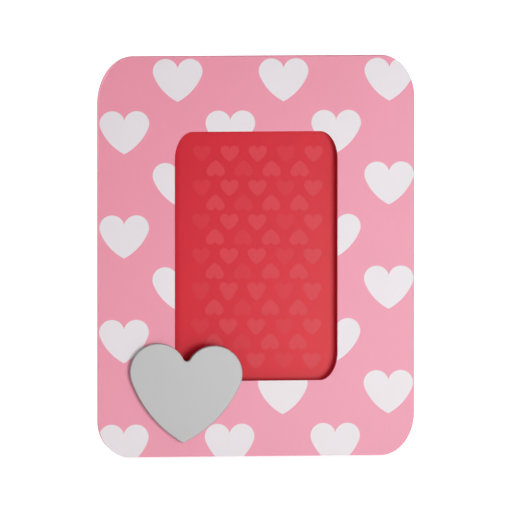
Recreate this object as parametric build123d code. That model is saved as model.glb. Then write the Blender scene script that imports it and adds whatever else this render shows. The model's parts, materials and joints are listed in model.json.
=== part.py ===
from build123d import *
from math import atan2, cos, degrees, hypot, radians, sin, sqrt, tan
import os

# Portrait photo frame with an easel back. Lengths are millimetres, angles are degrees.
# The frame is drawn upright: the printed front is at Y = 0 and faces -Y, the bottom edge
# is at Z = 0 and the middle is at X = 0, so "behind" means towards +Y. At the end the
# whole frame leans back on its strut, and the table it stands on becomes Z = 0.

# Stance
lean_angle = 15.0
strut_opening = 28.0

# Panel and printed facing
panel_width = 186.0
panel_height = 235.0
core_thickness = 11.4
facing_thickness = 0.6
border_left = 44.7
border_right = 45.3
border_top = 44.0
border_bottom = 44.45

# Corners of the panel, each a quarter ellipse with a reach across and a reach up: top right,
# top left, bottom left and bottom right. The window's corners are all alike.
top_right_across, top_right_up = 18.5, 24.5
top_left_across, top_left_up = 21.0, 28.3
bottom_left_across, bottom_left_up = 17.5, 20.5
bottom_right_across, bottom_right_up = 19.5, 25.5
window_corner_across = 10.5
window_corner_up = 16.4

# Rebate behind the window, for a 4 by 6 inch picture, and what it holds
picture_width = 101.6
picture_height = 152.4
rebate_clearance = 1.0
rebate_corner_radius = 3.0
glazing_thickness = 2.0
glazing_clearance = 0.5
glazing_to_card = 0.05
card_thickness = 0.4
backing_thickness = 3.0
backing_clearance = 0.3

# Heart plaque
plaque_thickness = 4.0
plaque_lobe_radius = 16.6
plaque_lobe_offset = 16.5
plaque_side_radius = 69.0
plaque_tip_drop = 41.2
plaque_notch_radius = 2.2
plaque_tip_radius = 1.0
plaque_edge_chamfer = 0.4
plaque_turn = 2.7
plaque_from_middle = 41.9
plaque_above_bottom = 49.6

# Easel strut
strut_thickness = 3.0
strut_top_width = 38.0
strut_foot_width = 58.0
strut_corner_radius = 5.0
strut_top_clearance = 0.6
strut_edge_chamfer = 0.3
hinge_height = 150.0

# Easel hinge
pin_radius = 1.0
pin_end = 0.5
pin_running_clearance = 0.05
pin_fixed_clearance = 0.02
leaf_thickness = 0.8
hinge_width = 34.0
knuckle_count = 5
knuckle_gap = 0.2
knuckle_to_board = 0.4
knuckle_clearance = 0.4
fixed_leaf_height = 17.0
strut_leaf_height = 22.0
strut_leaf_end_width = 22.0
leaf_corner_radius = 3.0
stop_tail_length = 6.5
stop_tail_corner_cut = 1.2

# Rivets of the hinge
rivet_radius = 1.5
rivet_clearance = 0.02
rivet_head_radius = 2.8
rivet_head_height = 1.1
rivet_tail_radius = 2.4
rivet_tail_height = 0.6
fixed_rivet_spacing = 22.0
fixed_rivet_rise = 11.5
strut_rivet_spacing = 12.0
strut_rivet_drop = 16.0

# Turn buttons and their screws
button_thickness = 0.8
button_head_radius = 4.2
button_tip_radius = 2.8
button_arm = 9.5
button_pivot_out = 6.5
button_spread = 96.0
button_hole_clearance = 0.06
button_running_gap = 0.05
screw_radius = 1.4
screw_length = 8.0
screw_head_radius = 2.9
screw_head_height = 1.4
screw_slot_width = 0.8
screw_slot_length = 3.4
screw_slot_depth = 0.9

# Sawtooth hanger and its nails
hanger_length = 44.0
hanger_width = 8.0
hanger_thickness = 0.8
hanger_standoff = 1.8
hanger_foot = 8.0
hanger_ramp = 3.0
hanger_from_top = 14.0
tooth_pitch = 2.4
tooth_count = 8
tooth_depth = 1.6
tooth_width_share = 0.8
nail_radius = 0.8
nail_length = 8.0
nail_head_radius = 2.0
nail_head_height = 0.6

# Holes for screws and nails, and how far every cut runs past what it cuts
pilot_clearance = 0.02
pilot_depth_spare = 0.4
overrun = 5.0

# Places that follow from the sizes above
middle_height = panel_height / 2
window_width = panel_width - border_left - border_right
window_height = panel_height - border_top - border_bottom
window_across = (border_left - border_right) / 2
window_rise = (border_bottom - border_top) / 2
rebate_width = picture_width + 2 * rebate_clearance
rebate_height = picture_height + 2 * rebate_clearance
frame_depth = facing_thickness + core_thickness
backing_front = frame_depth - backing_thickness
card_front = backing_front - card_thickness
glazing_front = card_front - glazing_to_card - glazing_thickness
knuckle_radius = pin_radius + leaf_thickness
knuckle_length = (hinge_width - (knuckle_count - 1) * knuckle_gap) / knuckle_count
hinge_depth = frame_depth + knuckle_to_board + knuckle_radius
leaf_notch = knuckle_radius + knuckle_clearance
button_pivot_across = rebate_width / 2 + button_pivot_out
hanger_height = panel_height - hanger_from_top
nail_across = (hanger_length - hanger_foot) / 2

# Faces of the folded strut, behind the hinge pin's axis
strut_rear = knuckle_radius - leaf_thickness
strut_front = strut_rear - strut_thickness


# Plate from a sketch drawn as seen from the front, from one depth towards the rear
def plate(sketch, front, thickness):
    return Pos(0, front, 0) * extrude(Plane.XZ * sketch, -thickness)


# Solid turned about the Y axis from a sketch of its right half
def turned(half_sketch):
    return revolve(half_sketch, Axis.Y, 360)


# Round bar along +Y from the given depth
def bar(radius, start, length):
    return turned(Pos(radius / 2, start + length / 2) * Rectangle(radius, length))


# Pilot hole for a screw's or nail's shank, drilled forwards from the rear of the panel
def pilot_hole(radius, shank_in_panel):
    length = shank_in_panel + pilot_depth_spare
    hole = bar(radius + pilot_clearance, -length, length + overrun)
    return Pos(0, frame_depth, 0) * hole


# Rectangle about the panel's middle whose corners are quarter ellipses, given as pairs of a
# reach across and a reach up in the order top right, top left, bottom left, bottom right
def soft_rectangle(width, height, corners):
    signs = ((1, 1), (-1, 1), (-1, -1), (1, -1))
    with BuildSketch() as sketch:
        with BuildLine():
            for index, (side, level) in enumerate(signs):
                across, up = corners[index]
                next_side, next_level = signs[(index + 1) % 4]
                next_across, next_up = corners[(index + 1) % 4]
                centre = (side * (width / 2 - across), level * (height / 2 - up))
                EllipticalCenterArc(centre, across, up, 90 * index, arc_size=90)
                if level == next_level:
                    edge = level * height / 2
                    Line((centre[0], edge), (next_side * (width / 2 - next_across), edge))
                else:
                    edge = side * width / 2
                    Line((edge, centre[1]), (edge, next_level * (height / 2 - next_up)))
        make_face()
    return Pos(0, middle_height) * sketch.sketch


# Outline of the panel with the window cut out of it
def panel_outline():
    corners = (
        (top_right_across, top_right_up),
        (top_left_across, top_left_up),
        (bottom_left_across, bottom_left_up),
        (bottom_right_across, bottom_right_up),
    )
    window_corners = 4 * ((window_corner_across, window_corner_up),)
    window = soft_rectangle(window_width, window_height, window_corners)
    window = Pos(window_across, window_rise) * window
    return soft_rectangle(panel_width, panel_height, corners) - window


# Rectangle that sits in the rebate with the given clearance all round
def rebate_shape(clearance):
    width = rebate_width - 2 * clearance
    height = rebate_height - 2 * clearance
    radius = rebate_corner_radius - clearance
    return Pos(0, middle_height) * RectangleRounded(width, height, radius)


# Where the turn buttons pivot: left and right of the rebate, lower pair first
def button_pivots():
    for up in (-1, 1):
        for side in (-1, 1):
            yield side, side * button_pivot_across, middle_height + up * button_spread / 2


# Square-cornered card of the picture's size, in front of the backing board
def insert_card():
    card = Pos(0, middle_height) * Rectangle(picture_width, picture_height)
    return plate(card, card_front, card_thickness)


# Panel core with the window, the rebate behind it, and the pilot holes in its back
def front_panel():
    core = plate(panel_outline(), facing_thickness, core_thickness)
    rebate = plate(rebate_shape(0), glazing_front, frame_depth - glazing_front + overrun)
    core -= rebate
    screw_in_panel = screw_length - button_thickness - button_running_gap
    for _, across, height in button_pivots():
        core -= Pos(across, 0, height) * pilot_hole(screw_radius, screw_in_panel)
    nail_in_panel = nail_length - hanger_thickness
    for side in (-1, 1):
        core -= Pos(side * nail_across, 0, hanger_height) * pilot_hole(nail_radius, nail_in_panel)
    return core


# Heart outline about the middle of the line through its lobes' centres. Each side is one
# large arc that leaves its lobe smoothly and ends at the tip.
def heart():
    tip_to_lobe = hypot(plaque_lobe_offset, plaque_tip_drop)
    lobe_to_side = plaque_side_radius - plaque_lobe_radius
    along = (tip_to_lobe**2 + plaque_side_radius**2 - lobe_to_side**2) / (2 * tip_to_lobe)
    off = sqrt(plaque_side_radius**2 - along**2)
    toward = Vector(plaque_lobe_offset, plaque_tip_drop) / tip_to_lobe
    tip = Vector(0, -plaque_tip_drop)
    side_centre = tip + toward * along + Vector(-toward.Y, toward.X) * off
    notch_rise = sqrt((plaque_lobe_radius + plaque_notch_radius) ** 2 - plaque_lobe_offset**2)

    lobe_start = degrees(atan2(notch_rise, -plaque_lobe_offset))
    lobe_end = degrees(atan2(-side_centre.Y, plaque_lobe_offset - side_centre.X))
    side_end = degrees(atan2(tip.Y - side_centre.Y, tip.X - side_centre.X))
    notch_end = lobe_start - 180
    notch = CenterArc((0, notch_rise), plaque_notch_radius, -90, notch_end + 90)
    lobe = CenterArc((plaque_lobe_offset, 0), plaque_lobe_radius, lobe_start, lobe_end - lobe_start)
    side = CenterArc(side_centre, plaque_side_radius, lobe_end, side_end - lobe_end)
    half = Curve() + [notch, lobe, side]
    outline = make_face(half + mirror(half, Plane.YZ))
    return fillet(outline.vertices().sort_by(Axis.Y)[0], plaque_tip_radius)


# Thick heart glued over the lower left corner of the window
def heart_plaque():
    slab = plate(heart(), -plaque_thickness, plaque_thickness)
    rim = slab.faces().sort_by(Axis.Y)[0].edges()
    slab = chamfer(rim, plaque_edge_chamfer)
    return Pos(-plaque_from_middle, 0, plaque_above_bottom) * Rot(0, plaque_turn, 0) * slab


# Board that closes the rebate, drilled and counterbored for the hinge's rivets
def backing_board():
    board = plate(rebate_shape(backing_clearance), backing_front, backing_thickness)
    for side in (-1, 1):
        board -= fixed_rivet_place(side) * rivet_hole(leaf_thickness + backing_thickness)
    return board


# Rivet through a leaf and a board: flat head behind, flat tail let into the board
def rivet(grip):
    head = bar(rivet_head_radius, 0, rivet_head_height)
    tail = bar(rivet_tail_radius, -grip, rivet_tail_height)
    return head + bar(rivet_radius, -grip, grip) + tail


# Room for that rivet
def rivet_hole(grip):
    through = bar(rivet_radius + rivet_clearance, -grip - overrun, grip + 2 * overrun)
    counterbore_length = rivet_tail_height + overrun
    return through + bar(rivet_tail_radius + rivet_clearance, -grip - overrun, counterbore_length)


def fixed_rivet_place(side):
    across = side * fixed_rivet_spacing / 2
    return Pos(across, frame_depth + leaf_thickness, hinge_height + fixed_rivet_rise)


def strut_rivet_place(side):
    return Pos(side * strut_rivet_spacing / 2, knuckle_radius, -strut_rivet_drop)


# The hinge's own frame: its origin is on the pin's axis, in the middle of the hinge
hinge_place = Pos(0, hinge_depth, hinge_height)
open_strut = hinge_place * Rot(strut_opening, 0, 0)


# Left end of a knuckle, counted from the left
def knuckle_start(index):
    return -hinge_width / 2 + index * (knuckle_length + knuckle_gap)


# Ring about the pin's axis
def knuckle(index):
    ring = extrude(Plane.YZ * Circle(knuckle_radius), knuckle_length)
    return Pos(knuckle_start(index), 0, 0) * ring


def pin_bore(clearance):
    length = hinge_width + 2 * overrun
    return extrude(Plane.YZ * Circle(pin_radius + clearance), length / 2, both=True)


# Cut that lets the other leaf's knuckle turn in a leaf's edge
def knuckle_notch(index):
    width = knuckle_length + 2 * knuckle_gap
    centre = knuckle_start(index) + knuckle_length / 2
    return Pos(centre, 0, 0) * Box(width, 4 * knuckle_radius, 2 * leaf_notch)


# Upper leaf, flat on the backing board, with every other knuckle
def hinge_fixed_leaf():
    outline = Pos(0, fixed_leaf_height / 2) * Rectangle(hinge_width, fixed_leaf_height)
    outline = fillet(outline.vertices().group_by(Axis.Y)[-1], leaf_corner_radius)
    leaf = plate(outline, frame_depth - hinge_depth, leaf_thickness)
    for index in range(1, knuckle_count, 2):
        leaf -= knuckle_notch(index)
    for index in range(0, knuckle_count, 2):
        leaf += knuckle(index)
    leaf -= pin_bore(pin_fixed_clearance)
    leaf = hinge_place * leaf
    for side in (-1, 1):
        leaf -= fixed_rivet_place(side) * rivet_hole_in_leaf()
    return leaf


def rivet_hole_in_leaf():
    return bar(rivet_radius + rivet_clearance, -leaf_thickness - overrun, leaf_thickness + 2 * overrun)


# Lower leaf, flat on the strut's rear, with the knuckles between. Each of its knuckles has
# a tail that lands on the upper leaf when the strut is open and stops it there.
def hinge_strut_leaf():
    top = hinge_width / 2
    end = strut_leaf_end_width / 2
    corners = [(-top, 0), (top, 0), (end, -strut_leaf_height), (-end, -strut_leaf_height)]
    outline = make_face(Polyline(*corners, close=True))
    outline = fillet(outline.vertices().group_by(Axis.Y)[0], leaf_corner_radius)
    leaf = plate(outline, strut_rear, leaf_thickness)
    for index in range(0, knuckle_count, 2):
        leaf -= knuckle_notch(index)
    for side in (-1, 1):
        leaf -= strut_rivet_place(side) * rivet_hole_in_leaf()
    leaf = Rot(strut_opening, 0, 0) * leaf
    tail_front = frame_depth + leaf_thickness - hinge_depth
    for index in range(1, knuckle_count, 2):
        centre = knuckle_start(index) + knuckle_length / 2
        tail = Pos(centre, stop_tail_length / 2) * Rectangle(knuckle_length, stop_tail_length)
        tail = chamfer(tail.vertices().group_by(Axis.Y)[-1], stop_tail_corner_cut)
        leaf += plate(tail, tail_front, leaf_thickness)
        leaf += knuckle(index)
    leaf -= pin_bore(pin_running_clearance)
    return hinge_place * leaf


# Plain pin, held in the upper leaf's knuckles, with its ends just proud of them
def hinge_pin():
    return hinge_place * extrude(Plane.YZ * Circle(pin_radius), hinge_width / 2 + pin_end, both=True)


# Distance down the strut from the pin to the table, along the line of the strut that lies
# the given distance behind the pin. The table passes under the panel's rear bottom edge
# and, seen from the upright panel, climbs behind it at the lean angle.
def strut_reach(behind_pin):
    slope = tan(radians(lean_angle))
    opening = radians(strut_opening)
    height = hinge_height + behind_pin * sin(opening)
    depth = hinge_depth - frame_depth + behind_pin * cos(opening)
    return (height - depth * slope) / (cos(opening) + sin(opening) * slope)


# Tapered leg, cut at its foot so that it stands flat on the table when it is open
def easel_strut():
    top = -knuckle_radius - strut_top_clearance
    foot = -strut_reach(strut_rear)
    upper = strut_top_width / 2
    lower = strut_foot_width / 2
    corners = [(-upper, top), (upper, top), (lower, foot), (-lower, foot)]
    outline = make_face(Polyline(*corners, close=True))
    outline = fillet(outline.vertices().group_by(Axis.Y)[0], strut_corner_radius)
    board = plate(outline, strut_front, strut_thickness)
    side_points = [
        (strut_front, top),
        (strut_rear, top),
        (strut_rear, foot),
        (strut_front, -strut_reach(strut_front)),
    ]
    side_view = make_face(Plane.YZ * Polyline(*side_points, close=True))
    board &= extrude(side_view, lower + overrun, both=True)
    sides = board.faces().sort_by(Axis.Y)[-1].edges().filter_by(GeomType.LINE).sort_by(Axis.Z)[1:]
    board = chamfer(sides, strut_edge_chamfer)
    for side in (-1, 1):
        board -= strut_rivet_place(side) * rivet_hole(leaf_thickness + strut_thickness)
    return open_strut * board


# Turning clip: a teardrop plate with its pivot hole at the wide end
def turn_button():
    with BuildSketch() as outline:
        Circle(button_head_radius)
        with Locations((button_arm, 0)):
            Circle(button_tip_radius)
        make_hull()
    clip = plate(outline.sketch, 0, button_thickness)
    hole_radius = screw_radius + button_hole_clearance
    return clip - bar(hole_radius, -overrun, button_thickness + 2 * overrun)


# Screw with a flat head and a cross recess, its head seated at Y = 0
def turn_screw():
    screw = bar(screw_head_radius, 0, screw_head_height)
    screw += bar(screw_radius, -screw_length, screw_length)
    depth = screw_slot_depth + overrun
    slot = Pos(0, screw_head_height - screw_slot_depth + depth / 2, 0)
    screw -= slot * Box(screw_slot_length, depth, screw_slot_width)
    screw -= slot * Box(screw_slot_width, depth, screw_slot_length)
    return screw


# Hanging strip: two feet on the panel and a raised middle with teeth along its lower edge
def sawtooth_hanger():
    end = hanger_length / 2
    foot = end - hanger_foot
    raised = foot - hanger_ramp
    bend = hanger_thickness * tan(atan2(hanger_standoff, hanger_ramp) / 2)
    outer = hanger_standoff + hanger_thickness
    half = [
        (0, hanger_standoff),
        (raised, hanger_standoff),
        (foot, 0),
        (end, 0),
        (end, hanger_thickness),
        (foot + bend, hanger_thickness),
        (raised + bend, outer),
        (0, outer),
    ]
    profile = make_face(Polyline(*half, close=True))
    profile += mirror(profile, Plane.YZ)
    strip = extrude(profile, hanger_width / 2, both=True)
    tooth_half = tooth_pitch * tooth_width_share / 2
    edge = -hanger_width / 2
    notch = make_face(
        Polyline((-tooth_half, edge), (0, edge + tooth_depth), (tooth_half, edge), close=True)
    )
    for index in range(tooth_count):
        across = (index - (tooth_count - 1) / 2) * tooth_pitch
        strip -= Pos(across, 0, 0) * plate(notch, -overrun, outer + 2 * overrun)
    for side in (-1, 1):
        hole = bar(nail_radius + pilot_clearance, -overrun, hanger_thickness + 2 * overrun)
        strip -= Pos(side * nail_across, 0, 0) * hole
    return Pos(0, frame_depth, hanger_height) * strip


# Nail with its head seated at Y = 0
def hanger_nail():
    return bar(nail_head_radius, 0, nail_head_height) + bar(nail_radius, -nail_length, nail_length)


# Every piece in its place on the upright frame
pieces = {
    "front_panel": front_panel(),
    "printed_facing": plate(panel_outline(), 0, facing_thickness),
    "heart_plaque": heart_plaque(),
    "glazing": plate(rebate_shape(glazing_clearance), glazing_front, glazing_thickness),
    "insert_card": insert_card(),
    "backing_board": backing_board(),
    "easel_strut": easel_strut(),
    "hinge_fixed_leaf": hinge_fixed_leaf(),
    "hinge_strut_leaf": hinge_strut_leaf(),
    "hinge_pin": hinge_pin(),
    "sawtooth_hanger": sawtooth_hanger(),
}
for number, side in enumerate((-1, 1), start=1):
    fixed_grip = leaf_thickness + backing_thickness
    strut_grip = leaf_thickness + strut_thickness
    nail_seat = Pos(side * nail_across, frame_depth + hanger_thickness, hanger_height)
    pieces[f"fixed_leaf_rivet_{number}"] = fixed_rivet_place(side) * rivet(fixed_grip)
    pieces[f"strut_leaf_rivet_{number}"] = open_strut * strut_rivet_place(side) * rivet(strut_grip)
    pieces[f"hanger_nail_{number}"] = nail_seat * hanger_nail()
for number, (side, across, height) in enumerate(button_pivots(), start=1):
    inward = 0 if side < 0 else 180
    screw_seat = frame_depth + button_thickness + button_running_gap
    pieces[f"turn_button_{number}"] = Pos(across, frame_depth, height) * Rot(0, inward, 0) * turn_button()
    pieces[f"turn_screw_{number}"] = Pos(across, screw_seat, height) * turn_screw()

# Lean the frame back, then put the table at Z = 0 and the middle of its depth at Y = 0
leaned = {name: Rot(-lean_angle, 0, 0) * piece for name, piece in pieces.items()}
box = Compound(list(leaned.values())).bounding_box()
stand = Pos(0, -(box.min.Y + box.max.Y) / 2, frame_depth * sin(radians(lean_angle)))

os.makedirs("parts", exist_ok=True)
for name, piece in leaned.items():
    export_step(stand * piece, f"parts/{name}.step")
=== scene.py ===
import json
import math

import bpy
from mathutils import Matrix, Vector

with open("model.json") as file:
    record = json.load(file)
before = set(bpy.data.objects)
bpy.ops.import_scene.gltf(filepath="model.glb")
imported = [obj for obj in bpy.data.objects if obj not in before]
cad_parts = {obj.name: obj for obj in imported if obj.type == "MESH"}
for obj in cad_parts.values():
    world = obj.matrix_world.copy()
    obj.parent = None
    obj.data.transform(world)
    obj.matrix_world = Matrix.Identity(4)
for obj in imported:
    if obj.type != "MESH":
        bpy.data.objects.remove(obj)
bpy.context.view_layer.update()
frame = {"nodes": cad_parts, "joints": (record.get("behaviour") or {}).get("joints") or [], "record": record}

MM = 0.001

# The panel's own directions, and where its edges and printed front are
ACROSS = Vector((1, 0, 0))
REAR = Vector(next(j["axis"] for j in frame["joints"] if j["name"] == "button_1_turn"))
UP = ACROSS.cross(REAR)
FACING_POINTS = [v.co for v in frame["nodes"]["printed_facing"].data.vertices]
BOTTOM = min(p.dot(UP) for p in FACING_POINTS)
TOP = max(p.dot(UP) for p in FACING_POINTS)
FRONT = min(p.dot(REAR) for p in FACING_POINTS)
PANEL_MIDDLE = UP * (BOTTOM + TOP) / 2 + REAR * FRONT
HALF_WIDTH_MM = max(p.x for p in FACING_POINTS) / MM
HALF_HEIGHT_MM = (TOP - BOTTOM) / 2 / MM

# Camera: where it stands off the panel's front, the width it sees there, how far left of and
# above the panel's middle it aims, and how far it sees
CAMERA_LEFT_DEG = 6.0
CAMERA_ABOVE_DEG = 4.1
CAMERA_DISTANCE = 7.0
VIEW_WIDTH = 0.3002
VIEW_LEFT_MM = 0.47
VIEW_UP_MM = 0.33
SENSOR_WIDTH = 36.0
CAMERA_REACH = 20.0

# Light: a broad key lamp and a smaller lamp for its sheen, by their angles off the panel's
# front, a rim lamp by its angles off the rear, and levels
KEY_RIGHT_DEG = 15.0
KEY_BELOW_DEG = 7.0
KEY_DISTANCE = 0.82
KEY_SIZE = 0.42
KEY_POWER = 4.08
SHEEN_RIGHT_DEG = 18.0
SHEEN_BELOW_DEG = 8.0
SHEEN_DISTANCE = 0.8
SHEEN_SIZE = 0.2
SHEEN_POWER = 6.2
RIM_LEFT_DEG = 40.0
RIM_ABOVE_DEG = 28.0
RIM_DISTANCE = 1.2
RIM_SIZE = 0.5
RIM_POWER = 8.0
AMBIENT_LEVEL = 0.35
FLOOR_SIZE = 6.0
FLOOR_ALBEDO = 0.8
FLOOR_LIFT = 0.82

# Heart outline in units of its own lobe radius
HEART_LOBE_OFFSET = 0.969
HEART_SIDE_RADIUS = 4.07
HEART_TIP_DROP = 2.43

# Print on the facing, in millimetres: staggered hearts, top row first. It lies a little to the
# left and high, leans to the right, is stretched both ways and sags above and below the middle.
PRINT_HEART_RADIUS = 7.40
PRINT_COLUMN_PITCH = 62.3
PRINT_ROW_PITCH = 30.64
PRINT_FIRST_COLUMN = -46.66
PRINT_FIRST_ROW = 226.6
PRINT_STAGGER = -31.25
PRINT_EDGE = 0.12
PRINT_LEAN = 0.00255
PRINT_WIDER = 0.0011
PRINT_LEFT = 0.14
PRINT_RISE = 0.19
PRINT_TALLER = 0.00094
PRINT_SAG = 0.000035

# Print on the card, in millimetres: rows of upright hearts with inverted ones between. The card sits a
# little askew, and the rows below its seam are printed a little lower. Some hearts of each row are faint.
# Painted shade: a strip along the window's left edge is darker red, where the wall shades the card.
CARD_HEART_RADIUS = 2.76
CARD_COLUMN_PITCH = 16.5
CARD_ROW_PITCH = 20.13
CARD_MIDDLE_COLUMN = 0.90
CARD_FIRST_ROW = 179.4
CARD_FIRST_INVERTED_ROW = 166.85
CARD_COLUMNS = 5
CARD_ROWS = 7
CARD_EDGE = 0.2
CARD_TURN_DEG = 0.57
CARD_SEAM = 94.0
CARD_SEAM_DROP = 1.15
CARD_FAINT_EVERY = 3.0
CARD_FAINTNESS = 0.55
CARD_PAINTED_SHADE_WIDTH = 5.5
WINDOW_LEFT = -48.3

# Where paint and bare board lie on the panel, in millimetres: how far in from the outer edge
# a wall counts as the window's, how deep behind the front the rebate begins, and how far the
# overspray reaches in on the rear
WINDOW_INWARD = (25.0, 30.0)
REBATE_DEPTH = (6.5, 6.9)
REBATE_BARE = 0.8
OVERSPRAY_REACH = (2.2, 6.5)
OVERSPRAY_RAGGED = 5.0
OVERSPRAY_SHARE = 0.85

# Grain of each texture, in steps per millimetre
PRINT_CLOUD_GRAIN = 0.035
FIBRE_GRAIN = 1.9
FLECK_GRAIN = 0.9
OVERSPRAY_GRAIN = 0.5
SPRAY_GRAIN = 1.2
FLAKE_GRAIN = 3.2
PEEL_GRAIN = 1.1
SILVER_CLOUD_GRAIN = 0.06
CARD_GRAIN = 2.4
CARD_CLOUD_GRAIN = 0.05
SMEAR_GRAIN = 0.08
LEATHER_GRAIN = 1.1
RUBBED_GRAIN = 0.16
PATCH_GRAIN = 0.35

# How much finer the textures that run one way are along each axis, and the weave's share of
# upright threads
LINEN_THREADS = (2.6, 0.10, 1.0)
LINEN_PICKS = (0.12, 2.2, 1.0)
LINEN_THREAD_SHARE = 0.65
MDF_FLECKS = (0.5, 1.5, 1.0)
ROLLING_LINES = (0.25, 6.0, 6.0)

# Weights that take the mean of a texture's three channels
EVEN_THIRDS = (0.333, 0.333, 0.333)

# Spans that a texture's values mostly keep to, as they are and brought to around zero, and
# how squarely a face looks to the rear to count as bare
TEXTURE_SPAN = (0.3, 0.7)
CENTRED_SPAN = (-0.3, 0.3)
REAR_FACING = (0.6, 0.8)

# How much each texture lightens and darkens its surface
WEAVE_SHADE = 0.07
PRINT_CLOUD_SHADE = 0.035
FLECK_SHADE = 0.2
SPRAY_SHADE = 0.06
FLAKE_SHADE = 0.08
SILVER_CLOUD_SHADE = 0.03
CARD_GRAIN_SHADE = 0.08
CARD_CLOUD_SHADE = 0.06
ROLLING_SHADE = 0.12

# Rounding that the edges show, in millimetres, and how much of the relief sprayed paint has
PLAQUE_BEVEL = 0.25
METAL_BEVEL = 0.12
BEVEL_SAMPLES = 6
SPRAY_RELIEF = 0.4

# Roughness of each surface, over the span of its own texture
PRINT_ROUGHNESS = (0.5, 0.64)
PAINT_ROUGHNESS = (0.48, 0.6)
BARE_ROUGHER = 0.28
SILVER_ROUGHNESS = (0.46, 0.6)
CARD_ROUGHNESS = (0.32, 0.4)
GLAZING_ROUGHNESS = (0.16, 0.22)
BOARD_ROUGHNESS = (0.82, 0.58)
STEEL_ROUGHNESS = (0.24, 0.4)
BRASS_ROUGHNESS = (0.26, 0.42)
DULL_ROUGHER = 0.06

# Sheen of each surface, as its specular level, and the share of metal in the silver paint
PRINT_SHEEN = 0.15
PAINT_SHEEN = 0.03
SILVER_SHEEN = 0.18
SILVER_METAL = 0.12
CARD_SHEEN = 0.07
BOARD_SHEEN = 0.4

# Glazing: what it lets through, and how much it mirrors face on and at a slant
GLAZING_TINT = (0.985, 0.99, 0.988, 1.0)
GLAZING_MIRROR = 0.0003
GLAZING_SLANT_MIRROR = 0.9
GLAZING_SLANT_POWER = 5.0


def srgb(red, green, blue):
    """A colour given as 0 to 255 per channel, as the linear values that a shader takes."""
    shares = (c / 255 for c in (red, green, blue))
    linear = [s / 12.92 if s <= 0.04045 else ((s + 0.055) / 1.055) ** 2.4 for s in shares]
    return (*linear, 1.0)


# Pink and white of the print, each at the shaded top left and the lit bottom right of a painted light
# gradient
PINK_SHADED_TOP_LEFT = srgb(233, 146, 167)
PINK_LIT_BOTTOM_RIGHT = srgb(235, 162, 181)
WHITE_SHADED_TOP_LEFT = srgb(227, 221, 225)
WHITE_LIT_BOTTOM_RIGHT = srgb(232, 227, 230)
# Card red at the shaded top left and the lit bottom right of a painted light gradient, and the card's hearts
CARD_SHADED_TOP_LEFT = srgb(206, 33, 52)
CARD_LIT_BOTTOM_RIGHT = srgb(221, 38, 53)
CARD_HEART = srgb(217, 60, 72)
# Painted shade: a darker red on the card beside the window's left wall
CARD_PAINTED_SHADE = srgb(196, 4, 44)
SILVER = srgb(170, 170, 170)
# A darker red-pink for the window's inner walls
WINDOW_WALL_RED = srgb(200, 52, 74)
BARE_MDF = srgb(184, 148, 108)
BARE_MDF_DARK = srgb(150, 114, 78)
BOARD_BLACK = srgb(38, 36, 36)
BOARD_WORN = srgb(66, 62, 60)
NICKEL = srgb(196, 194, 189)
NICKEL_DULL = srgb(176, 173, 167)
BRASS = srgb(214, 178, 104)
BRASS_DULL = srgb(190, 152, 84)
FLOOR_WHITE = srgb(255, 255, 255)


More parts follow.
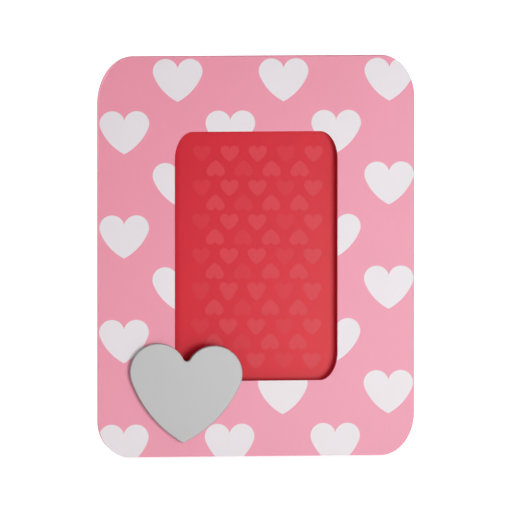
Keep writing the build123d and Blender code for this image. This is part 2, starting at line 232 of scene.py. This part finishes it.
class Graph:
    """A material's or world's nodes. A value is a number, a tuple or another node's socket."""

    def __init__(self, name, kept_in=bpy.data.materials):
        self.owner = kept_in.new(name)
        self.owner.use_nodes = True
        self.tree = self.owner.node_tree
        self.tree.nodes.clear()

    def put(self, value, socket):
        if isinstance(value, bpy.types.NodeSocket):
            self.tree.links.new(value, socket)
        else:
            socket.default_value = value

    def node(self, kind, inputs=None, **settings):
        made = self.tree.nodes.new(kind)
        for name, value in settings.items():
            setattr(made, name, value)
        for key, value in (inputs or {}).items():
            self.put(value, made.inputs[key])
        return made

    def math(self, operation, *values):
        made = self.node("ShaderNodeMath", dict(enumerate(values)), operation=operation)
        return made.outputs[0]

    def dot(self, vector, direction):
        inputs = {0: vector, 1: direction}
        made = self.node("ShaderNodeVectorMath", inputs, operation="DOT_PRODUCT")
        return made.outputs["Value"]

    def scaled(self, vector, scales):
        inputs = {0: vector, 1: scales}
        made = self.node("ShaderNodeVectorMath", inputs, operation="MULTIPLY")
        return made.outputs["Vector"]

    def vector(self, x, y, z=0.0):
        return self.node("ShaderNodeCombineXYZ", {0: x, 1: y, 2: z}).outputs[0]

    def length(self, x, y):
        squares = self.math("ADD", self.math("MULTIPLY", x, x), self.math("MULTIPLY", y, y))
        return self.math("SQRT", squares)

    def ramp(self, value, low, high, start=0.0, end=1.0):
        """Eases from start to end while the value goes from low to high, and stops there."""
        inputs = {"Value": value, "From Min": low, "From Max": high, "To Min": start, "To Max": end}
        made = self.node("ShaderNodeMapRange", inputs, interpolation_type="SMOOTHSTEP")
        return made.outputs["Result"]

    def mix(self, share, first, second, blend="MIX"):
        inputs = {0: share, 6: first, 7: second}
        made = self.node("ShaderNodeMix", inputs, data_type="RGBA", blend_type=blend)
        return made.outputs[2]

    def noise(self, place, grain, detail=2.0, roughness=0.5):
        """Clouds around a half. More detail and roughness give them finer and harder ones."""
        inputs = {"Vector": place, "Scale": grain, "Detail": detail, "Roughness": roughness}
        return self.node("ShaderNodeTexNoise", inputs).outputs["Fac"]

    def centred(self, value):
        """A value around a half, brought to around zero."""
        return self.math("SUBTRACT", value, 0.5)

    def shaded(self, colour, *changes):
        """The colour made lighter or darker by values around zero, each with its strength."""
        factor = 1.0
        for value, strength in changes:
            factor = self.math("MULTIPLY_ADD", value, strength, factor)
        return self.mix(1.0, colour, self.vector(factor, factor, factor), "MULTIPLY")

    def bump(self, height, distance_mm, strength=1.0, normal=None):
        inputs = {"Strength": strength, "Distance": distance_mm * MM, "Height": height}
        if normal is not None:
            inputs["Normal"] = normal
        return self.node("ShaderNodeBump", inputs).outputs["Normal"]

    def bevel(self, radius_mm):
        made = self.node("ShaderNodeBevel", {"Radius": radius_mm * MM}, samples=BEVEL_SAMPLES)
        return made.outputs["Normal"]

    def place(self):
        """Millimetres in the object's own space, which ride with the object."""
        here = self.node("ShaderNodeTexCoord").outputs["Object"]
        return self.scaled(here, (1 / MM,) * 3)

    def panel_place(self):
        """Millimetres across from the panel's middle line, up from its bottom edge and behind
        its front, and the three as one vector."""
        here = self.place()
        across = self.dot(here, ACROSS)
        up = self.math("SUBTRACT", self.dot(here, UP), BOTTOM / MM)
        behind = self.math("SUBTRACT", self.dot(here, REAR), FRONT / MM)
        return across, up, behind, self.vector(across, up, behind)

    def surface(self, colour, roughness, normal=None, **fixed):
        """The finished material. The fixed values go to the shader's inputs of their names."""
        inputs = {"Base Color": colour, "Roughness": roughness}
        if normal is not None:
            inputs["Normal"] = normal
        shader = self.node("ShaderNodeBsdfPrincipled", inputs)
        for name, value in fixed.items():
            label = name.replace("_", " ").title().replace("Ior", "IOR")
            shader.inputs[label].default_value = value
        return self.output(shader.outputs["BSDF"])

    def output(self, shader):
        self.node("ShaderNodeOutputMaterial", {"Surface": shader})
        return self.owner


def heart_distance(g, x, y, radius):
    """Distance outside a heart, negative inside. x and y are from the middle between its lobes."""
    offset = HEART_LOBE_OFFSET * radius
    side_radius = HEART_SIDE_RADIUS * radius
    tip_drop = HEART_TIP_DROP * radius
    tip_to_lobe = math.hypot(offset, tip_drop)
    along = (tip_to_lobe**2 + side_radius**2 - (side_radius - radius) ** 2) / (2 * tip_to_lobe)
    off = math.sqrt(side_radius**2 - along**2)
    toward_x, toward_y = offset / tip_to_lobe, tip_drop / tip_to_lobe
    side_x = toward_x * along - toward_y * off
    side_y = -tip_drop + toward_y * along + toward_x * off

    half = g.math("ABSOLUTE", x)
    lobe = g.math("SUBTRACT", g.length(g.math("SUBTRACT", half, offset), y), radius)
    from_side_x = g.math("SUBTRACT", half, side_x)
    from_side_y = g.math("SUBTRACT", y, side_y)
    side = g.math("SUBTRACT", g.length(from_side_x, from_side_y), side_radius)
    turn = g.math(
        "SUBTRACT",
        g.math("MULTIPLY", from_side_y, offset - side_x),
        g.math("MULTIPLY", from_side_x, -side_y),
    )
    below = g.math("MULTIPLY", g.math("LESS_THAN", turn, 0.0), g.math("LESS_THAN", y, 0.0))
    return g.math("ADD", g.math("MULTIPLY", below, g.math("SUBTRACT", side, lobe)), lobe)


def print_place(g, across, up):
    """Across and up on the facing's print, which lies a little out of true on the panel."""
    off = g.math("SUBTRACT", up, HALF_HEIGHT_MM)
    level = g.math("MULTIPLY_ADD", across, 1 - PRINT_WIDER, PRINT_LEFT)
    along = g.math("MULTIPLY_ADD", off, -PRINT_LEAN, level)
    sag = g.math("MULTIPLY_ADD", g.math("MULTIPLY", off, off), PRINT_SAG, -PRINT_RISE)
    rise = g.math("ADD", g.math("MULTIPLY_ADD", off, -PRINT_TALLER, up), sag)
    return along, rise


def printed_hearts(g, across, up):
    """1 on the facing's hearts and 0 between them."""
    across, up = print_place(g, across, up)
    distances = []
    for start_x, start_y in (
        (PRINT_FIRST_COLUMN, PRINT_FIRST_ROW),
        (PRINT_FIRST_COLUMN + PRINT_STAGGER, PRINT_FIRST_ROW - PRINT_ROW_PITCH),
    ):
        half_column = PRINT_COLUMN_PITCH / 2
        x = g.math("WRAP", g.math("SUBTRACT", across, start_x), half_column, -half_column)
        y = g.math("WRAP", g.math("SUBTRACT", up, start_y), PRINT_ROW_PITCH, -PRINT_ROW_PITCH)
        distances.append(heart_distance(g, x, y, PRINT_HEART_RADIUS))
    nearest = g.math("MINIMUM", *distances)
    return g.ramp(nearest, -PRINT_EDGE, PRINT_EDGE, 1.0, 0.0)


def card_place(g, across, up):
    """Across and up on the card's print, which is turned about the middle of the panel."""
    turn = math.radians(CARD_TURN_DEG)
    cosine, sine = math.cos(turn), math.sin(turn)
    off = g.math("SUBTRACT", up, HALF_HEIGHT_MM)
    along = g.math("SUBTRACT", g.math("MULTIPLY", across, cosine), g.math("MULTIPLY", off, sine))
    rise = g.math("ADD", g.math("MULTIPLY", across, sine), g.math("MULTIPLY", off, cosine))
    below_seam = g.math("LESS_THAN", rise, CARD_SEAM - HALF_HEIGHT_MM)
    drop = g.math("MULTIPLY", below_seam, CARD_SEAM_DROP)
    return along, g.math("ADD", g.math("ADD", rise, HALF_HEIGHT_MM), drop)


def card_hearts(g, across, up, inverted):
    """How strongly one of the card's two sets of hearts shows, where some of a row are faint."""
    columns = CARD_COLUMNS - 1 if inverted else CARD_COLUMNS
    rows = CARD_ROWS - 1 if inverted else CARD_ROWS
    first_column = CARD_MIDDLE_COLUMN - (columns - 1) / 2 * CARD_COLUMN_PITCH
    first_row = CARD_FIRST_INVERTED_ROW if inverted else CARD_FIRST_ROW
    steps_across = g.math("DIVIDE", g.math("SUBTRACT", across, first_column), CARD_COLUMN_PITCH)
    steps_down = g.math("DIVIDE", g.math("SUBTRACT", first_row, up), CARD_ROW_PITCH)
    column = g.math("ROUND", steps_across)
    row = g.math("ROUND", steps_down)
    x = g.math("MULTIPLY", g.math("SUBTRACT", steps_across, column), CARD_COLUMN_PITCH)
    turned = CARD_ROW_PITCH if inverted else -CARD_ROW_PITCH
    y = g.math("MULTIPLY", g.math("SUBTRACT", steps_down, row), turned)
    shape = g.ramp(heart_distance(g, x, y, CARD_HEART_RADIUS), -CARD_EDGE, CARD_EDGE, 1.0, 0.0)
    for index, count in ((column, columns), (row, rows)):
        inside = g.math("COMPARE", index, (count - 1) / 2, count / 2)
        shape = g.math("MULTIPLY", shape, inside)
    faint_column = 1.0 if inverted else 0.0
    repeat = g.math("FLOORED_MODULO", column, CARD_FAINT_EVERY)
    faint = g.math("COMPARE", repeat, faint_column, 0.5)
    strength = g.math("MULTIPLY_ADD", faint, -CARD_FAINTNESS, 1.0)
    return g.math("MULTIPLY", shape, strength)


def painted_shade_left_edge(g, across):
    """Painted shade: 1 on the card along the window's left edge, fading to 0 inwards."""
    return g.ramp(across, WINDOW_LEFT, WINDOW_LEFT + CARD_PAINTED_SHADE_WIDTH, 1.0, 0.0)


def painted_light_gradient(g, across, up, shaded_top_left, lit_bottom_right):
    """Painted light: a colour that goes from its shaded end at the panel's top left corner to its lit end at
    the bottom right, in place of the lamps' falloff and sheen.
    """
    right = g.math("DIVIDE", across, HALF_WIDTH_MM)
    down = g.math("SUBTRACT", 1.0, g.math("DIVIDE", up, HALF_HEIGHT_MM))
    return g.mix(g.ramp(g.math("ADD", right, down), -2.0, 2.0), shaded_top_left, lit_bottom_right)


def linen(g, here):
    """Fine woven texture of the printed sheet: long upright threads and shorter level ones."""
    threads = g.noise(g.scaled(here, LINEN_THREADS), 1.0, detail=3.0)
    picks = g.noise(g.scaled(here, LINEN_PICKS), 1.0, detail=2.0)
    picks = g.math("MULTIPLY", picks, 1 - LINEN_THREAD_SHARE)
    return g.centred(g.math("MULTIPLY_ADD", threads, LINEN_THREAD_SHARE, picks))


def printed_front():
    """Printed sheet: white hearts on pink, on a fine weave with faint clouds."""
    g = Graph("printed_front")
    across, up, _, here = g.panel_place()
    texture = linen(g, here)
    cloudy = g.centred(g.noise(here, PRINT_CLOUD_GRAIN))
    # Painted light: the pink and the white go paler from the top left to the bottom right, in place of the
    # lamps' falloff and sheen
    pink = painted_light_gradient(g, across, up, PINK_SHADED_TOP_LEFT, PINK_LIT_BOTTOM_RIGHT)
    white = painted_light_gradient(g, across, up, WHITE_SHADED_TOP_LEFT, WHITE_LIT_BOTTOM_RIGHT)
    ink_and_painted_light = g.mix(printed_hearts(g, across, up), pink, white)
    ink_and_painted_light = g.shaded(ink_and_painted_light, (texture, WEAVE_SHADE), (cloudy, PRINT_CLOUD_SHADE))
    roughness = g.ramp(texture, *CENTRED_SPAN, *PRINT_ROUGHNESS)
    normal = g.bump(texture, distance_mm=0.05, strength=0.5)
    return g.surface(ink_and_painted_light, roughness, normal, specular_ior_level=PRINT_SHEEN)


def overspray(g, rim, here):
    """How much paint has drifted onto the rear at a distance from its rim, raggedly."""
    drift = g.noise(here, OVERSPRAY_GRAIN, detail=4.0, roughness=0.7)
    ragged = g.math("MULTIPLY_ADD", drift, OVERSPRAY_RAGGED, rim)
    return g.ramp(ragged, *OVERSPRAY_REACH, OVERSPRAY_SHARE, 0.0)


def painted_mdf():
    """Paint on the panel's edges and in its window, and bare board with overspray behind."""
    g = Graph("painted_mdf")
    across, up, behind, here = g.panel_place()
    from_sides = g.math("SUBTRACT", HALF_WIDTH_MM, g.math("ABSOLUTE", across))
    from_ends = g.math("MINIMUM", up, g.math("SUBTRACT", 2 * HALF_HEIGHT_MM, up))
    rim = g.math("MINIMUM", from_sides, from_ends)
    normal = g.node("ShaderNodeTexCoord").outputs["Normal"]
    rearward = g.ramp(g.dot(normal, REAR), *REAR_FACING)
    sideways = g.math("SUBTRACT", 1.0, rearward)
    window = g.math("MULTIPLY", g.ramp(rim, *WINDOW_INWARD), sideways)
    rebate = g.math("MULTIPLY", window, g.ramp(behind, *REBATE_DEPTH))
    clean = g.math("SUBTRACT", 1.0, overspray(g, rim, here))
    bare_rear = g.math("MULTIPLY", rearward, clean)
    bare = g.math("MAXIMUM", bare_rear, g.math("MULTIPLY", rebate, REBATE_BARE))

    fibres = g.noise(here, FIBRE_GRAIN, detail=5.0, roughness=0.62)
    flecks = g.noise(g.scaled(here, MDF_FLECKS), FLECK_GRAIN, detail=3.0)
    board = g.mix(g.ramp(fibres, 0.34, 0.66), BARE_MDF_DARK, BARE_MDF)
    board = g.shaded(board, (g.centred(flecks), FLECK_SHADE))
    spray = g.noise(here, SPRAY_GRAIN, detail=4.0, roughness=0.6)
    # Painted light: the pink goes paler towards the bottom right. The window's inner walls get a darker
    # red-pink.
    paint = g.mix(window, painted_light_gradient(g, across, up, PINK_SHADED_TOP_LEFT, PINK_LIT_BOTTOM_RIGHT), WINDOW_WALL_RED)
    paint = g.shaded(paint, (g.centred(spray), SPRAY_SHADE))

    painted_roughness = g.ramp(spray, *TEXTURE_SPAN, *PAINT_ROUGHNESS)
    roughness = g.math("MULTIPLY_ADD", bare, BARE_ROUGHER, painted_roughness)
    sprayed = g.math("MULTIPLY", spray, SPRAY_RELIEF)
    height = g.math("MULTIPLY_ADD", fibres, bare, sprayed)
    relief = g.bump(height, distance_mm=0.12, strength=0.6)
    colour = g.mix(bare, paint, board)
    return g.surface(colour, roughness, relief, specular_ior_level=PAINT_SHEEN)


def silver_heart():
    """Matte silver paint over fine board: tiny flakes, a soft orange peel and faint clouds."""
    g = Graph("silver_heart")
    here = g.place()
    flakes = g.node("ShaderNodeTexVoronoi", {"Vector": here, "Scale": FLAKE_GRAIN})
    flake = g.centred(g.dot(flakes.outputs["Color"], EVEN_THIRDS))
    cloudy = g.centred(g.noise(here, SILVER_CLOUD_GRAIN))
    colour = g.shaded(SILVER, (flake, FLAKE_SHADE), (cloudy, SILVER_CLOUD_SHADE))
    roughness = g.ramp(flake, -0.4, 0.4, *SILVER_ROUGHNESS)
    peel = g.noise(here, PEEL_GRAIN, detail=3.0, roughness=0.55)
    edges = g.bevel(PLAQUE_BEVEL)
    normal = g.bump(peel, distance_mm=0.06, strength=0.4, normal=edges)
    fixed = {"metallic": SILVER_METAL, "specular_ior_level": SILVER_SHEEN}
    return g.surface(colour, roughness, normal, **fixed)


def red_card():
    """Red card with its two sets of faint hearts, fine grain and faint clouds."""
    g = Graph("red_card")
    across, up, _, here = g.panel_place()
    along, rise = card_place(g, across, up)
    upright = card_hearts(g, along, rise, inverted=False)
    hearts = g.math("MAXIMUM", upright, card_hearts(g, along, rise, inverted=True))
    # Painted light: the card red goes paler towards the bottom right
    ink_and_painted_light = g.mix(hearts, painted_light_gradient(g, across, up, CARD_SHADED_TOP_LEFT, CARD_LIT_BOTTOM_RIGHT), CARD_HEART)
    # Painted shade: a darker red strip on the card along the window's left wall
    ink_and_painted_light = g.mix(painted_shade_left_edge(g, across), ink_and_painted_light, CARD_PAINTED_SHADE)
    grain = g.centred(g.noise(here, CARD_GRAIN, detail=4.0, roughness=0.6))
    cloudy = g.centred(g.noise(here, CARD_CLOUD_GRAIN))
    ink_and_painted_light = g.shaded(ink_and_painted_light, (grain, CARD_GRAIN_SHADE), (cloudy, CARD_CLOUD_SHADE))
    roughness = g.ramp(grain, *CENTRED_SPAN, *CARD_ROUGHNESS)
    normal = g.bump(grain, distance_mm=0.03, strength=0.4)
    return g.surface(ink_and_painted_light, roughness, normal, specular_ior_level=CARD_SHEEN)


def clear_glazing():
    """Clear sheet: it lets the light through and mirrors a little, more at a slant."""
    g = Graph("clear_glazing")
    smear = g.noise(g.place(), SMEAR_GRAIN, detail=3.0, roughness=0.6)
    roughness = g.ramp(smear, *TEXTURE_SPAN, *GLAZING_ROUGHNESS)
    mirror = g.node("ShaderNodeBsdfGlossy", {"Roughness": roughness})
    clear = g.node("ShaderNodeBsdfTransparent", {"Color": GLAZING_TINT})
    facing = g.node("ShaderNodeLayerWeight").outputs["Facing"]
    slant = g.math("POWER", facing, GLAZING_SLANT_POWER)
    share = g.math("MULTIPLY_ADD", slant, GLAZING_SLANT_MIRROR, GLAZING_MIRROR)
    inputs = {0: share, 1: clear.outputs[0], 2: mirror.outputs[0]}
    return g.output(g.node("ShaderNodeMixShader", inputs).outputs[0])


def dark_board():
    """Black leather-grained paper over board, paler where it has rubbed."""
    g = Graph("dark_board")
    here = g.place()
    inputs = {"Vector": here, "Scale": LEATHER_GRAIN}
    cells = g.node("ShaderNodeTexVoronoi", inputs, feature="DISTANCE_TO_EDGE")
    creases = g.ramp(cells.outputs["Distance"], 0.0, 0.22)
    wear = g.noise(here, RUBBED_GRAIN, detail=5.0, roughness=0.65)
    rubbed = g.ramp(wear, 0.5, 0.74)
    colour = g.mix(g.math("MULTIPLY", rubbed, creases), BOARD_BLACK, BOARD_WORN)
    roughness = g.ramp(creases, 0.0, 1.0, *BOARD_ROUGHNESS)
    normal = g.bump(creases, distance_mm=0.10, strength=0.7)
    return g.surface(colour, roughness, normal, specular_ior_level=BOARD_SHEEN)


def metal(name, bright, dull, roughness_span):
    """Plated sheet metal: fine rolling lines and dull patches."""
    g = Graph(name)
    here = g.place()
    lines = g.noise(g.scaled(here, ROLLING_LINES), 1.0, detail=3.0, roughness=0.6)
    patches = g.noise(here, PATCH_GRAIN, detail=4.0, roughness=0.6)
    colour = g.mix(g.ramp(patches, 0.42, 0.75), bright, dull)
    colour = g.shaded(colour, (g.centred(lines), ROLLING_SHADE))
    lined = g.ramp(lines, *TEXTURE_SPAN, *roughness_span)
    roughness = g.math("ADD", lined, g.ramp(patches, 0.45, 0.8, 0.0, DULL_ROUGHER))
    edges = g.bevel(METAL_BEVEL)
    normal = g.bump(lines, distance_mm=0.02, strength=0.6, normal=edges)
    return g.surface(colour, roughness, normal, metallic=1.0)


def background_seen(g):
    """1 for the rays that see the background: the camera's, and those from metal and glass."""
    path = g.node("ShaderNodeLightPath").outputs
    mirrored = g.math("MAXIMUM", path["Is Glossy Ray"], path["Is Transmission Ray"])
    return g.math("MAXIMUM", path["Is Camera Ray"], mirrored)


def floor_white():
    """White floor that takes the object's shadow and shows as the white background."""
    g = Graph("floor_white")
    lift = g.math("MULTIPLY", background_seen(g), FLOOR_LIFT)
    plain = g.node("ShaderNodeBsdfDiffuse", {"Color": (*[FLOOR_ALBEDO] * 3, 1.0)})
    glow = g.node("ShaderNodeEmission", {"Color": FLOOR_WHITE, "Strength": lift})
    both = g.node("ShaderNodeAddShader", {0: plain.outputs[0], 1: glow.outputs[0]})
    return g.output(both.outputs[0])


def dress():
    """Gives each piece the material of its slot."""
    materials = {
        "painted_mdf": painted_mdf(),
        "printed_front": printed_front(),
        "silver_heart": silver_heart(),
        "clear_glazing": clear_glazing(),
        "red_card": red_card(),
        "dark_board": dark_board(),
        "plated_steel": metal("plated_steel", NICKEL, NICKEL_DULL, STEEL_ROUGHNESS),
        "brass_plate": metal("brass_plate", BRASS, BRASS_DULL, BRASS_ROUGHNESS),
    }
    for part in frame["record"]["subparts"]:
        mesh = frame["nodes"][part["node"]].data
        mesh.materials.clear()
        mesh.materials.append(materials[part["material_slot"]])


def off_front(across_deg, up_deg):
    """Direction off the panel's front, turned to its right and up."""
    right, high = math.sin(math.radians(across_deg)), math.sin(math.radians(up_deg))
    return ACROSS * right + UP * high - REAR * math.sqrt(1 - right**2 - high**2)


def aim(thing, direction, distance, target=PANEL_MIDDLE):
    """Puts a lamp or camera that far off the target, looking at it with the panel's top up."""
    side = UP.cross(direction).normalized()
    turn = Matrix((side, direction.cross(side), direction)).transposed()
    thing.matrix_world = Matrix.Translation(target + direction * distance) @ turn.to_4x4()


def add_camera():
    """A long lens that stands to the left of and above the panel's front."""
    camera = bpy.data.objects.new("camera", bpy.data.cameras.new("camera"))
    bpy.context.scene.collection.objects.link(camera)
    camera.data.sensor_width = SENSOR_WIDTH
    camera.data.lens = SENSOR_WIDTH * CAMERA_DISTANCE / VIEW_WIDTH
    camera.data.clip_end = CAMERA_REACH
    target = PANEL_MIDDLE - ACROSS * VIEW_LEFT_MM * MM + UP * VIEW_UP_MM * MM
    aim(camera, off_front(-CAMERA_LEFT_DEG, CAMERA_ABOVE_DEG), CAMERA_DISTANCE, target)
    bpy.context.scene.camera = camera


def add_lamp(name, size, power, direction, distance):
    """A round lamp that shines on the panel's middle."""
    lamp = bpy.data.objects.new(name, bpy.data.lights.new(name, "AREA"))
    bpy.context.scene.collection.objects.link(lamp)
    lamp.data.shape = "DISK"
    lamp.data.size = size
    lamp.data.energy = power
    aim(lamp, direction, distance)
    return lamp


def add_lamps():
    """A key lamp and its sheen before the panel, and a rim lamp behind its left and top edges."""
    front = off_front(KEY_RIGHT_DEG, -KEY_BELOW_DEG)
    key = add_lamp("key", KEY_SIZE, KEY_POWER, front, KEY_DISTANCE)
    key.visible_glossy = False
    gloss = off_front(SHEEN_RIGHT_DEG, -SHEEN_BELOW_DEG)
    sheen = add_lamp("sheen", SHEEN_SIZE, SHEEN_POWER, gloss, SHEEN_DISTANCE)
    sheen.visible_diffuse = False
    behind = off_front(-RIM_LEFT_DEG, RIM_ABOVE_DEG)
    behind -= 2 * REAR * behind.dot(REAR)
    add_lamp("rim", RIM_SIZE, RIM_POWER, behind, RIM_DISTANCE)


def add_floor():
    """The floor that the frame stands on, staged as no part of it."""
    mesh = bpy.data.meshes.new("floor")
    reach = FLOOR_SIZE / 2
    corners = [(-reach, -reach, 0), (reach, -reach, 0), (reach, reach, 0), (-reach, reach, 0)]
    mesh.from_pydata(corners, [], [(0, 1, 2, 3)])
    mesh.materials.append(floor_white())
    floor = bpy.data.objects.new("floor", mesh)
    bpy.context.scene.collection.objects.link(floor)


def add_world():
    """Even soft light all round, where the background shows as white."""
    g = Graph("studio", bpy.data.worlds)
    level = {"Value": background_seen(g), "To Min": AMBIENT_LEVEL, "To Max": 1.0}
    strength = g.node("ShaderNodeMapRange", level).outputs[0]
    sky = g.node("ShaderNodeBackground", {"Color": FLOOR_WHITE, "Strength": strength})
    g.node("ShaderNodeOutputWorld", {"Surface": sky.outputs[0]})
    bpy.context.scene.world = g.owner


dress()
add_camera()
add_lamps()
add_floor()
add_world()
bpy.context.scene.view_settings.view_transform = "Standard"
